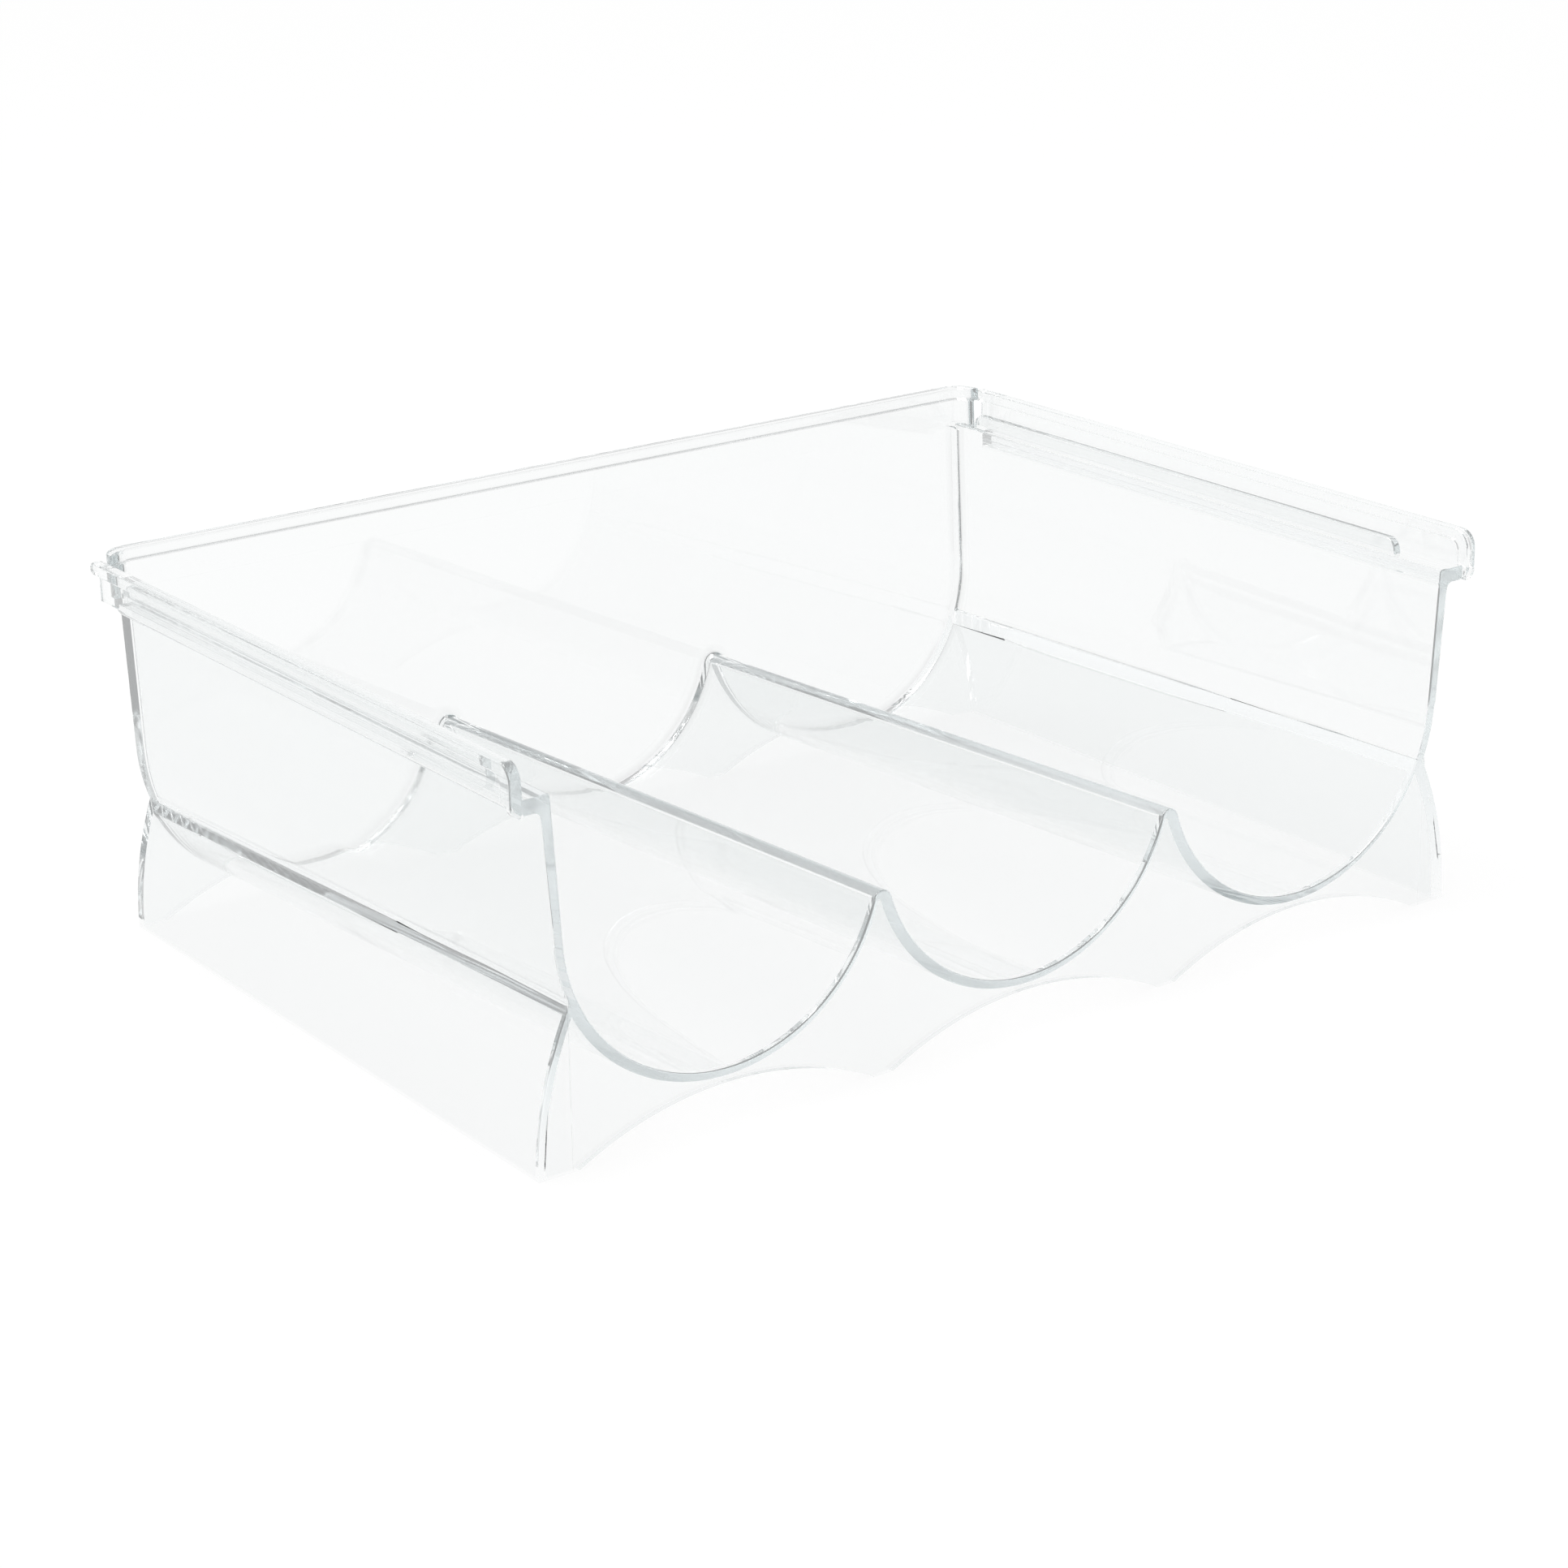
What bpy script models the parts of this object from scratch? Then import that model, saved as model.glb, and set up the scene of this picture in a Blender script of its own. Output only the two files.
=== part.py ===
# Clear stackable bottle rack for a fridge shelf: three troughs in one moulding.
# The moulding is split into its walls and features along hairline seams, so that each
# of them is a closed solid of its own. Metres, +Z up, front towards -Y, standing on z = 0.
import math

import bmesh
import bpy

# Driving dimensions, in metres
trough_radius = 0.0443
trough_circle_gap = 0.0014
trough_floor_height = 0.0143
trough_drop = 0.0088
trough_side_splay = 0.0020
sheet_thickness = 0.0025
ridge_crest_radius = 0.0028
ridge_under_radius = 0.0004
ridge_foot_rise = 0.0217
wall_top_spread = 0.0020
wall_rise = 0.0339
wall_thickness = 0.0030
body_depth = 0.1980
back_thickness = 0.0028
back_lean = math.radians(2.5)
front_lean = math.radians(0.5)
back_corner_radius = 0.0022
ledge_thickness = 0.0038
ledge_width = 0.0080
ledge_rear_setback = 0.0120
flange_thickness = 0.0022
flange_rise = 0.0090
flange_corner_radius = 0.0045
flange_under_radius = 0.0008
flange_front_reach = 0.0022
flange_nose_radius = 0.0030
flange_rear_setback = 0.0026
lip_proud = 0.0010
lip_height = 0.0033
lip_front_width = 0.0044
lip_inner_radius = 0.0028
lip_rear_overhang = 0.0028
lip_end_radius = 0.0016
rib_inset = 0.0013
rib_thickness = 0.0024
rib_rise = 0.0041
rib_front_setback = 0.0174
rib_rear_setback = 0.0040
rib_end_radius = 0.0034
skirt_spread = 0.0087
skirt_bow_radius = 0.0920
skirt_thickness = 0.0029
foot_width = 0.0055
end_foot_width = 0.0095
arch_height = 0.0106
rim_rise = 0.0103
rim_thickness = 0.0028
rim_outset = 0.0024
rim_return_length = 0.0033
rim_corner_radius = 0.0060
rim_lip_height = 0.0036
rim_lip_proud = 0.0017
seam = 0.0003

# Facet counts
long_arc_steps = 30
wide_arc_steps = 20
flank_arc_steps = 5
crest_arc_steps = 10
corner_arc_steps = 6

# Derived dimensions
trough_outer_radius = trough_radius + sheet_thickness
trough_centre_height = trough_floor_height + trough_radius
trough_pitch = 2 * trough_radius + trough_circle_gap
ridge_offset = trough_pitch / 2
ridge_foot_height = trough_floor_height + ridge_foot_rise
wall_top_half_width = trough_pitch + trough_radius + wall_top_spread
ledge_top_height = trough_centre_height + wall_rise
ledge_under_height = ledge_top_height - ledge_thickness
rib_inner_half_width = wall_top_half_width + rib_inset
rib_top_height = ledge_top_height + rib_rise
flange_inner_half_width = wall_top_half_width + ledge_width
flange_top_height = ledge_top_height + flange_rise
rim_half_width = wall_top_half_width + rim_outset
rim_top_height = ledge_top_height + rim_rise
skirt_half_width = trough_pitch + trough_radius + skirt_spread
rear_reach = body_depth + rim_top_height * math.tan(back_lean) + rim_thickness + rim_lip_proud
front_y = (flange_front_reach - rear_reach) / 2
arch_half_span = (trough_pitch - foot_width) / 2
arch_radius = (arch_half_span ** 2 + arch_height ** 2) / (2 * arch_height)


def clear_scene():
    for item in list(bpy.data.objects):
        bpy.data.objects.remove(item, do_unlink=True)


def lean_at(height):
    return height * math.tan(back_lean)


def front_face_y(height):
    return front_y - height * math.tan(front_lean)


def back_inner_y(height):
    return front_y + body_depth + lean_at(height)


def arc_point(centre, radius, angle):
    """Point (x, z) on a circle; the angle is measured from straight down towards +X."""
    return (centre[0] + radius * math.sin(angle), centre[1] - radius * math.cos(angle))


def arc(centre, radius, start, stop, steps):
    return [arc_point(centre, radius, start + (stop - start) * step / steps) for step in range(steps + 1)]


def mirrored(points, axis):
    return [(2 * axis - x, z) for x, z in reversed(points)]


def circle_crossing(first, first_radius, second, second_radius):
    """Both crossing points of two circles in the XZ plane."""
    gap_x = second[0] - first[0]
    gap_z = second[1] - first[1]
    distance = math.hypot(gap_x, gap_z)
    along = (first_radius ** 2 - second_radius ** 2 + distance ** 2) / (2 * distance)
    across = math.sqrt(first_radius ** 2 - along ** 2)
    mid_x = first[0] + along * gap_x / distance
    mid_z = first[1] + along * gap_z / distance
    shift_x = across * gap_z / distance
    shift_z = across * gap_x / distance
    return [(mid_x - shift_x, mid_z + shift_z), (mid_x + shift_x, mid_z - shift_z)]


def angle_from_down(centre, point):
    return math.atan2(point[0] - centre[0], centre[1] - point[1])


class Station:
    """Cross-section values at one end of the rack (share 0 at the front, 1 at the back)."""

    def __init__(self, share):
        self.centre_z = trough_centre_height - trough_drop * share
        self.splay = trough_side_splay * share
        self.outer_x = trough_pitch + self.splay
        foot_z = ridge_foot_height - trough_drop * share
        self.ridge_angle = math.acos((self.centre_z - foot_z) / trough_radius)
        self.crest_angle = math.asin(ridge_offset / (trough_radius + ridge_crest_radius))
        self.under_angle = math.asin(ridge_offset / (trough_outer_radius + ridge_under_radius))
        crest_reach = trough_radius + ridge_crest_radius
        under_reach = trough_outer_radius + ridge_under_radius
        self.crest_z = self.centre_z - crest_reach * math.cos(self.crest_angle)
        self.under_z = self.centre_z - under_reach * math.cos(self.under_angle)
        run_x = wall_top_half_width - self.outer_x
        run_z = ledge_top_height - self.centre_z
        reach = math.hypot(run_x, run_z)
        self.wall_angle = math.pi - math.atan2(run_x, run_z) - math.acos(trough_radius / reach)
        self.wall_tilt = self.wall_angle - math.pi / 2

    def wall_inner_x(self, height):
        start_x = self.outer_x + trough_radius * math.sin(self.wall_angle)
        start_z = self.centre_z - trough_radius * math.cos(self.wall_angle)
        return start_x - (height - start_z) * math.tan(self.wall_tilt)

    def wall_outer_x(self, height):
        return self.wall_inner_x(height) + wall_thickness / math.cos(self.wall_tilt)


front = Station(0.0)
back = Station(1.0)
half_seam_angle = seam / 2 / trough_radius


def trough_middle_section(station):
    limit = station.ridge_angle - half_seam_angle
    centre = (0.0, station.centre_z)
    upper = arc(centre, trough_radius, -limit, limit, long_arc_steps)
    lower = arc(centre, trough_outer_radius, limit, -limit, long_arc_steps)
    return upper + lower


def trough_side_section(station):
    inboard = station.ridge_angle - half_seam_angle
    outboard = station.wall_angle - half_seam_angle
    near = (trough_pitch, station.centre_z)
    far = (station.outer_x, station.centre_z)
    upper = arc(near, trough_radius, -inboard, -half_seam_angle, wide_arc_steps)
    upper += arc(far, trough_radius, half_seam_angle, outboard, wide_arc_steps)
    lower = arc(far, trough_outer_radius, outboard, half_seam_angle, wide_arc_steps)
    lower += arc(near, trough_outer_radius, -half_seam_angle, -inboard, wide_arc_steps)
    return upper + lower


def ridge_section(station):
    start = station.ridge_angle + half_seam_angle
    centre = (0.0, station.centre_z)
    crest = (ridge_offset, station.crest_z)
    under = (ridge_offset, station.under_z)
    upper = arc(centre, trough_radius, start, station.crest_angle, flank_arc_steps)
    upper += arc(crest, ridge_crest_radius, -(math.pi - station.crest_angle), -math.pi,
                 crest_arc_steps // 2)[1:]
    upper += mirrored(upper, ridge_offset)[1:]
    lower = arc(centre, trough_outer_radius, start, station.under_angle, flank_arc_steps)
    lower += arc(under, ridge_under_radius, -(math.pi - station.under_angle), -math.pi,
                 crest_arc_steps // 2)[1:]
    lower += mirrored(lower, ridge_offset)[1:]
    return upper + list(reversed(lower))


def wall_section(station):
    start = station.wall_angle + half_seam_angle
    top = ledge_under_height - seam
    trough = (station.outer_x, station.centre_z)
    inner = [arc_point(trough, trough_radius, start), (station.wall_inner_x(top), top)]
    outer = [(station.wall_outer_x(top), top), arc_point(trough, trough_outer_radius, start)]
    return inner + outer


def skirt_section(station):
    bow = (skirt_half_width - skirt_bow_radius, 0.0)
    trough = (station.outer_x, station.centre_z)
    clear = trough_outer_radius + seam
    inner_radius = skirt_bow_radius - skirt_thickness
    tip = max(circle_crossing(bow, skirt_bow_radius, trough, clear))
    root = max(circle_crossing(bow, inner_radius, trough, clear))
    outer = arc(bow, skirt_bow_radius, math.pi / 2, angle_from_down(bow, tip), wide_arc_steps)
    tip_angle = angle_from_down(trough, tip)
    root_angle = angle_from_down(trough, root)
    joint = arc(trough, clear, tip_angle, root_angle, flank_arc_steps)
    inner = arc(bow, inner_radius, angle_from_down(bow, root), math.pi / 2, wide_arc_steps)
    return outer + joint[1:-1] + inner


def ledge_section(station):
    """Flat ledge, with the seat for the next rack raised by one seam between rib and flange."""
    outer = flange_inner_half_width + flange_thickness
    rest = ledge_top_height - seam
    seat_inner = rib_inner_half_width + rib_thickness + seam / 2
    seat_outer = flange_inner_half_width - seam / 2
    round_radius = rest - ledge_under_height
    rounding = arc((outer - round_radius, rest), round_radius, math.pi / 2, 0.0, corner_arc_steps)
    return [(station.wall_inner_x(rest), rest), (seat_inner, rest), (seat_inner, ledge_top_height),
            (seat_outer, ledge_top_height), (seat_outer, rest)] + rounding + [
        (station.wall_inner_x(ledge_under_height), ledge_under_height)]


def make_material(name, colour):
    material = bpy.data.materials.new(name)
    material.use_nodes = True
    shader = next(node for node in material.node_tree.nodes if node.type == "BSDF_PRINCIPLED")
    shader.inputs["Base Color"].default_value = colour
    shader.inputs["Roughness"].default_value = 0.06
    shader.inputs["IOR"].default_value = 1.57
    shader.inputs["Transmission Weight"].default_value = 0.9
    return material


def finish_object(name, mesh_data, collection):
    item = bpy.data.objects.new(name, mesh_data)
    mesh_data.materials.append(make_material(name + " clear plastic", (0.90, 0.94, 0.95, 1.0)))
    collection.objects.link(item)
    return item


def close_mesh(name, shell):
    bmesh.ops.recalc_face_normals(shell, faces=shell.faces)
    mesh_data = bpy.data.meshes.new(name)
    shell.to_mesh(mesh_data)
    shell.free()
    return mesh_data


def ring(shell, points):
    verts = [shell.verts.new(point) for point in points]
    return [shell.edges.new((verts[index - 1], verts[index])) for index in range(len(verts))]


def loft(name, near, far, side, collection, rear_gap):
    """Bridge the front section to the back section and close both ends."""
    shell = bmesh.new()
    near_points = [(side * x, front_face_y(z), z) for x, z in near]
    far_points = [(side * x, back_inner_y(z) - rear_gap, z) for x, z in far]
    near_ring = ring(shell, near_points)
    far_ring = ring(shell, far_points)
    bmesh.ops.bridge_loops(shell, edges=near_ring + far_ring)
    bmesh.ops.contextual_create(shell, geom=near_ring)
    bmesh.ops.contextual_create(shell, geom=far_ring)
    return finish_object(name, close_mesh(name, shell), collection)


def plate(name, outline, place, thickness_step):
    """Close an outline and push it through by one step; place maps (u, v) to a point."""
    shell = bmesh.new()
    edges = ring(shell, [place(u, v) for u, v in outline])
    face = bmesh.ops.contextual_create(shell, geom=edges)["faces"][0]
    pushed = bmesh.ops.extrude_face_region(shell, geom=[face])["geom"]
    moved = [item for item in pushed if isinstance(item, bmesh.types.BMVert)]
    bmesh.ops.translate(shell, verts=moved, vec=thickness_step)
    return close_mesh(name, shell)


def rounded(corners):
    """Outline through (u, v, radius) corners, each square corner rounded by its radius."""
    outline = []
    for index, (u, v, radius) in enumerate(corners):
        before = corners[index - 1]
        after = corners[(index + 1) % len(corners)]
        if not radius:
            outline.append((u, v))
            continue
        in_length = math.hypot(u - before[0], v - before[1])
        out_length = math.hypot(after[0] - u, after[1] - v)
        in_u = (u - before[0]) / in_length * radius
        in_v = (v - before[1]) / in_length * radius
        out_u = (after[0] - u) / out_length * radius
        out_v = (after[1] - v) / out_length * radius
        for step in range(corner_arc_steps + 1):
            turn = math.pi / 2 * step / corner_arc_steps
            along = 1 - math.sin(turn)
            across = 1 - math.cos(turn)
            outline.append((u - in_u * along + out_u * across, v - in_v * along + out_v * across))
    return outline


def join_with(target, other_mesh, cutters):
    """Unite a second closed shell with the target by an exact Boolean."""
    helper = bpy.data.objects.new(target.name + " tool", other_mesh)
    cutters.objects.link(helper)
    helper.hide_render = True
    helper.display_type = "WIRE"
    union = target.modifiers.new("unite", "BOOLEAN")
    union.operation = "UNION"
    union.solver = "EXACT"
    union.object = helper
    return union


def bottom_edge(station, end_x, follow_trough):
    """Lower edge from -X to +X: feet, arches and, at the back, the trough undersides."""
    edge = [(-end_x, 0.0)]
    for number in (-1, 0, 1):
        middle = number * trough_pitch
        centre = (middle, arch_height - arch_radius)
        sweep = math.asin(arch_half_span / arch_radius)
        span = []
        for step in range(long_arc_steps + 1):
            angle = -sweep + 2 * sweep * step / long_arc_steps
            span.append(list(arc_point(centre, arch_radius, math.pi - angle)))
        if number:
            stretch = (end_x - end_foot_width - trough_pitch) / arch_half_span
            for point in span:
                if (point[0] - middle) * number > 0:
                    point[0] = middle + (point[0] - middle) * stretch
        if follow_trough:
            shift = number * station.splay
            for point in span:
                centre_x = middle + (shift if (point[0] - middle) * number > 0 else 0.0)
                reach = trough_outer_radius ** 2 - (point[0] - centre_x) ** 2
                if reach > 0:
                    point[1] = min(point[1], station.centre_z - math.sqrt(reach))
        edge += [tuple(point) for point in span]
    edge.append((end_x, 0.0))
    return edge


def front_skirt_outline():
    """The web under the troughs, between the two side skirts."""
    clear = trough_outer_radius + seam
    bow = (skirt_half_width - skirt_bow_radius, 0.0)
    bow_radius = skirt_bow_radius - skirt_thickness - seam
    trough = (front.outer_x, front.centre_z)
    corner = max(circle_crossing(bow, bow_radius, trough, clear))
    side = arc(bow, bow_radius, math.pi / 2, angle_from_down(bow, corner), wide_arc_steps)
    meet = math.asin(ridge_offset / clear)
    top = arc(trough, clear, angle_from_down(trough, corner), -meet, long_arc_steps)
    half_middle = arc((0.0, front.centre_z), clear, meet, 0.0, wide_arc_steps)
    right = side[1:] + top[1:] + half_middle[1:]
    left = [(-x, z) for x, z in reversed(right)][1:]
    return bottom_edge(front, bow[0] + bow_radius, False) + right + left[:-1]


def back_wall_outline():
    """The whole back sheet below the rim, as wide as the walls, the waist and the skirts."""
    bow = (skirt_half_width - skirt_bow_radius, 0.0)
    trough = (back.outer_x, back.centre_z)
    waist = max(circle_crossing(bow, skirt_bow_radius, trough, trough_outer_radius))
    side = arc(bow, skirt_bow_radius, math.pi / 2, angle_from_down(bow, waist), wide_arc_steps)
    waist_angle = angle_from_down(trough, waist)
    wall = arc(trough, trough_outer_radius, waist_angle, back.wall_angle, flank_arc_steps)
    top = ledge_under_height - seam
    right = side[1:] + wall[1:] + [(back.wall_outer_x(top), top)]
    left = [(-x, z) for x, z in reversed(right)][:-1]
    return bottom_edge(back, skirt_half_width, True) + right + left


def front_skirt(collection):
    def place(u, v):
        return (u, front_face_y(v), v)

    shape = plate("front_skirt", front_skirt_outline(), place, (0.0, skirt_thickness, 0.0))
    return finish_object("front_skirt", shape, collection)


def back_wall(collection):
    def place(u, v):
        return (u, back_inner_y(v), v)

    shape = plate("back_wall", back_wall_outline(), place, (0.0, back_thickness, 0.0))
    shell = bmesh.new()
    shell.from_mesh(shape)
    rounded_edges = []
    for edge in shell.edges:
        low, high = sorted(edge.verts, key=lambda vert: vert.co.z)
        behind = all(vert.co.y > back_inner_y(vert.co.z) + back_thickness / 2 for vert in edge.verts)
        outboard = all(abs(vert.co.x) > wall_top_half_width - wall_thickness for vert in edge.verts)
        if behind and outboard and high.co.z > low.co.z and low.co.x * high.co.x > 0:
            rounded_edges.append(edge)
    bmesh.ops.bevel(shell, geom=rounded_edges, offset=back_corner_radius, segments=corner_arc_steps,
                    profile=0.5, affect="EDGES", clamp_overlap=True)
    return finish_object("back_wall", close_mesh("back_wall", shell), collection)


def rim_path():
    """Plan path of the rim's inner face: side return, rounded corner, back, and the same mirrored."""
    inner_radius = rim_corner_radius - rim_thickness
    half = rim_half_width
    rear = back_inner_y(ledge_top_height)
    centre = (half - inner_radius, rear - inner_radius)
    right = [((half, rear - rim_return_length), (1.0, 0.0))]
    for step in range(corner_arc_steps + 1):
        turn = math.pi / 2 * step / corner_arc_steps
        normal = (math.cos(turn), math.sin(turn))
        point = (centre[0] + inner_radius * normal[0], centre[1] + inner_radius * normal[1])
        right.append((point, normal))
    left = [((-point[0], point[1]), (-normal[0], normal[1])) for point, normal in reversed(right)]
    return right + left


def back_rim(collection):
    """Upstand along the top of the back with an outward lip, wrapped round both rear corners."""
    low = ledge_under_height
    step_height = rim_top_height - rim_lip_height
    full = rim_thickness + rim_lip_proud
    profile = [(0.0, low), (rim_thickness, low), (rim_thickness, step_height), (full, step_height),
               (full, rim_top_height), (0.0, rim_top_height)]
    shell = bmesh.new()
    rings = []
    for point, normal in rim_path():
        loop = []
        for offset, height in profile:
            lean = lean_at(height - ledge_top_height)
            loop.append((point[0] + normal[0] * offset, point[1] + normal[1] * offset + lean, height))
        rings.append(ring(shell, loop))
    for first, second in zip(rings, rings[1:]):
        bmesh.ops.bridge_loops(shell, edges=first + second)
    bmesh.ops.contextual_create(shell, geom=rings[0])
    bmesh.ops.contextual_create(shell, geom=rings[-1])
    return finish_object("back_rim", close_mesh("back_rim", shell), collection)


def side_plate(name, outline, inner_x, width, side):
    def place(u, v):
        return (side * inner_x, u, v)

    return plate(name, outline, place, (side * width, 0.0, 0.0))


def round_nose(name, shape):
    """Round the lower outer edge of the flange's nose, in line with the ledge's own edge."""
    shell = bmesh.new()
    shell.from_mesh(shape)
    outer = flange_inner_half_width + flange_thickness + lip_proud / 2
    low = ledge_under_height + flange_under_radius
    nose_edges = []
    for edge in shell.edges:
        if all(abs(vert.co.x) > outer and vert.co.z < low for vert in edge.verts):
            nose_edges.append(edge)
    bmesh.ops.bevel(shell, geom=nose_edges, offset=flange_nose_radius, segments=corner_arc_steps,
                    profile=0.5, affect="EDGES", clamp_overlap=True)
    return close_mesh(name, shell)


def rim_flange(label, side, collection, cutters):
    """Upright flange on the ledge's outer edge, with a proud lip along its top and down its front."""
    name = "rim_flange_" + label
    begin = front_y - flange_front_reach
    rear = back_inner_y(ledge_top_height) - flange_rear_setback
    low = ledge_top_height
    panel = rounded([
        (begin, low, 0.0),
        (rear, low, flange_under_radius),
        (rear, flange_top_height, flange_under_radius),
        (begin, flange_top_height, flange_corner_radius),
    ])
    lip_rear = rear + lip_rear_overhang
    lip_low = flange_top_height - lip_height
    nose_rear = front_face_y(ledge_top_height) - seam
    lip = rounded([
        (begin, ledge_under_height, 0.0),
        (nose_rear, ledge_under_height, 0.0),
        (nose_rear, low, 0.0),
        (begin + lip_front_width, low, 0.0),
        (begin + lip_front_width, lip_low, lip_inner_radius),
        (lip_rear, lip_low, lip_end_radius),
        (lip_rear, flange_top_height, lip_end_radius),
        (begin, flange_top_height, flange_corner_radius),
    ])
    panel_mesh = side_plate(name, panel, flange_inner_half_width, flange_thickness, side)
    body = finish_object(name, panel_mesh, collection)
    lip_width = flange_thickness + lip_proud
    lip_mesh = side_plate(name + " lip", lip, flange_inner_half_width, lip_width, side)
    join_with(body, round_nose(name + " lip", lip_mesh), cutters)
    return body


def stacking_rib(label, side, collection):
    name = "stacking_rib_" + label
    low = ledge_top_height
    begin = front_y + rib_front_setback
    end = front_y + body_depth - rib_rear_setback
    outline = rounded([
        (begin, low, 0.0),
        (end, low, 0.0),
        (end, rib_top_height, rib_end_radius),
        (begin, rib_top_height, rib_end_radius),
    ])
    shape = side_plate(name, outline, rib_inner_half_width, rib_thickness, side)
    return finish_object(name, shape, collection)


def main():
    clear_scene()
    rack = bpy.data.collections.new("fridge bottle rack")
    bpy.context.scene.collection.children.link(rack)
    cutters = bpy.data.collections.new("cutters")
    bpy.context.scene.collection.children.link(cutters)
    lofted = (
        ("bottle_trough_", trough_side_section, seam),
        ("divider_ridge_", ridge_section, seam),
        ("side_wall_", wall_section, seam),
        ("side_skirt_", skirt_section, seam),
        ("stacking_ledge_", ledge_section, ledge_rear_setback),
    )
    for side, label in ((-1, "left"), (1, "right")):
        for name, section, rear_gap in lofted:
            loft(name + label, section(front), section(back), side, rack, rear_gap)
        rim_flange(label, side, rack, cutters)
        stacking_rib(label, side, rack)
    loft("bottle_trough_middle", trough_middle_section(front), trough_middle_section(back), 1, rack, seam)
    front_skirt(rack)
    back_wall(rack)
    back_rim(rack)


main()
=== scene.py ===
# Clear bottle rack for a fridge shelf, dressed as the one clear plastic moulding it really is.

# %% [markdown]
# The CAD model has the rack cut into its walls and features along hairline seams. The real
# rack is a single moulding, so this lesson models it again as one seamless clear solid in
# the same frame and puts it in place of the CAD nodes. The box of the CAD model is kept
# first, because the finished moulding has to fit in it.

# %% Load the frame
import math

import bmesh
import bpy
from mathutils import Matrix, Vector


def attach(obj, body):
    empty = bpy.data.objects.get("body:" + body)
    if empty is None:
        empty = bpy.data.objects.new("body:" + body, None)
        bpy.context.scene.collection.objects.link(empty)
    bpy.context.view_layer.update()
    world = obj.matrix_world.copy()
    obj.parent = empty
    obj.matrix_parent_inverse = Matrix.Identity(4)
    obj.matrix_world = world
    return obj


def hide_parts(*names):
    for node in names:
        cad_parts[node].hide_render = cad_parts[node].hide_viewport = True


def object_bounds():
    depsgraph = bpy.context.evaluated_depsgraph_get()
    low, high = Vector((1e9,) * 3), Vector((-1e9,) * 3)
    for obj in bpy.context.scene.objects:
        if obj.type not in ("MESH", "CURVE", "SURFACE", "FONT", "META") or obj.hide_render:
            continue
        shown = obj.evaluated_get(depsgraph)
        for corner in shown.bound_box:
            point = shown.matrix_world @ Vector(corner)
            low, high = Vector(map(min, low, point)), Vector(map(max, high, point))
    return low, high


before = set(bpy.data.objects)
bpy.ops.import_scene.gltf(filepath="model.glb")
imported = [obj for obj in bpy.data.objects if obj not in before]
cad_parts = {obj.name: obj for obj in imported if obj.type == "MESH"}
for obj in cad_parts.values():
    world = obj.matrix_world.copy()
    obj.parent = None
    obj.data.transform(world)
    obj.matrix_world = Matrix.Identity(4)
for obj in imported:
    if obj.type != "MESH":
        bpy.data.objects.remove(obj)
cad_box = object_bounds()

cad_ends = [round(value, 4) for value in (*cad_box[0], *cad_box[1])]
print("CAD nodes:", len(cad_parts), "box:", cad_ends)

# %% [markdown]
# The photograph was taken with a long lens from the front left, looking a little down.
# Straight edges of the rack, such as its feet, its ledges and its back rim, gave the place
# of the camera, its turn and its lens. A long lens keeps the near and the far end almost
# the same size, and the slight roll is the photographer's. The angles are in radians.

# %% Camera
PHOTO_SIDE = 1932
focal_pixels = 4605.7
camera_place = Vector((-0.5416, -0.75979, 0.3677))
azimuth = -0.6194
elevation = 0.3420
roll = -0.0187

camera_data = bpy.data.cameras.new("photo_camera")
camera_data.sensor_width = 36.0
camera_data.lens = 36.0 * focal_pixels / PHOTO_SIDE
camera_data.clip_start = 0.05
camera_data.clip_end = 20.0
camera = bpy.data.objects.new("photo_camera", camera_data)
bpy.context.scene.collection.objects.link(camera)

ahead = Vector((-math.sin(azimuth) * math.cos(elevation),
                math.cos(azimuth) * math.cos(elevation), -math.sin(elevation)))
level = Vector((math.cos(azimuth), math.sin(azimuth), 0.0))
above = level.cross(ahead)
side_axis = math.cos(roll) * level + math.sin(roll) * above
up_axis = -math.sin(roll) * level + math.cos(roll) * above
turn = Matrix((side_axis, up_axis, -ahead)).transposed()
camera.matrix_world = Matrix.Translation(camera_place) @ turn.to_4x4()
bpy.context.scene.camera = camera
print("lens", round(camera_data.lens, 2), "mm")

# %% [markdown]
# A moulding has one wall thickness nearly everywhere, so that it cools evenly. The lengths
# below are the ones that shape the cross-section: three troughs for bottles, two rounded
# ridges between them and a wall that rises from each outer trough. The troughs fall towards
# the back, so a bottle rolls no further than the back wall. Below them, each name with
# steps is the number of faces along an arc. The last lengths are for joining and finding:
# seam_step keeps two parts from sharing a plane, overlap is how far an upright plate
# reaches into the ledge, points closer than weld become one, and hair and slack are how
# near a point has to be to count as lying on a face or an edge.

# %% Sizes of the moulding, in metres
trough_radius = 0.0443
sheet = 0.0025
wall = 0.0030
pitch = 0.0900
centre_height = 0.0586
trough_drop = 0.0088
side_splay = 0.0020
crest_radius = 0.0028
under_radius = 0.0004
wall_top_x = 0.1363
ledge_top = 0.0925
ledge_under = 0.0887
depth = 0.1980
back_thickness = 0.0028
back_lean = math.tan(math.radians(2.5))
front_lean = math.tan(math.radians(0.5))
front_y = -0.1023942
edge_round = 0.0005
wall_steps = 40
trough_steps = 60
crest_steps = 16
bow_steps = 24
arch_steps = 48
web_steps = 80
round_steps = 8
seam_step = 0.00002
overlap = 0.0010
weld = 0.000002
hair = 0.00001
slack = 0.0001
sharp_turn = 0.9


def front_face(height):
    """Place of the leaning front face at this height."""
    return front_y - height * front_lean


def back_face(height):
    """Place of the leaning inner face of the back wall at this height."""
    return front_y + depth + height * back_lean


print("front foot at", round(front_y, 4), "back foot at", round(back_face(0.0), 4))

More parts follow.
